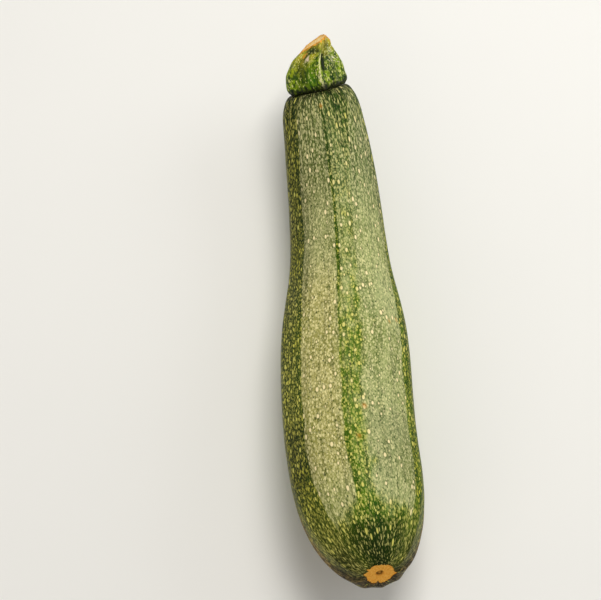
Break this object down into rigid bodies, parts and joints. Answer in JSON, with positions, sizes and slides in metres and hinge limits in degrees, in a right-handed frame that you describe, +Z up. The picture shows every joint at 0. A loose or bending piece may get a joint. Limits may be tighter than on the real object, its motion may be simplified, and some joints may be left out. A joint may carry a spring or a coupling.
{
  "type": "courgette",
  "caption": "Courgette lying on its side: ribbed, flecked green fruit with a corky blossom scar and a stub of cut stalk.",
  "frame": {"origin": "below the middle of the bounding box, on the surface that the courgette lies on", "axes": "+Y from the blossom end towards the stalk, +Z up off the surface that it lies on, +X to the right as seen from the blossom end"},
  "size_m": [0.0438, 0.1944, 0.0445],
  "materials": {
    "skin": "satin, waxy green skin with pale flecks and paler bands",
    "stalk": "matt green fibrous stalk with cream ribs and a dry cut end"
  },
  "bodies": {
    "root": {"fruit": "skin", "stalk": "stalk"}
  },
  "joints": []
}
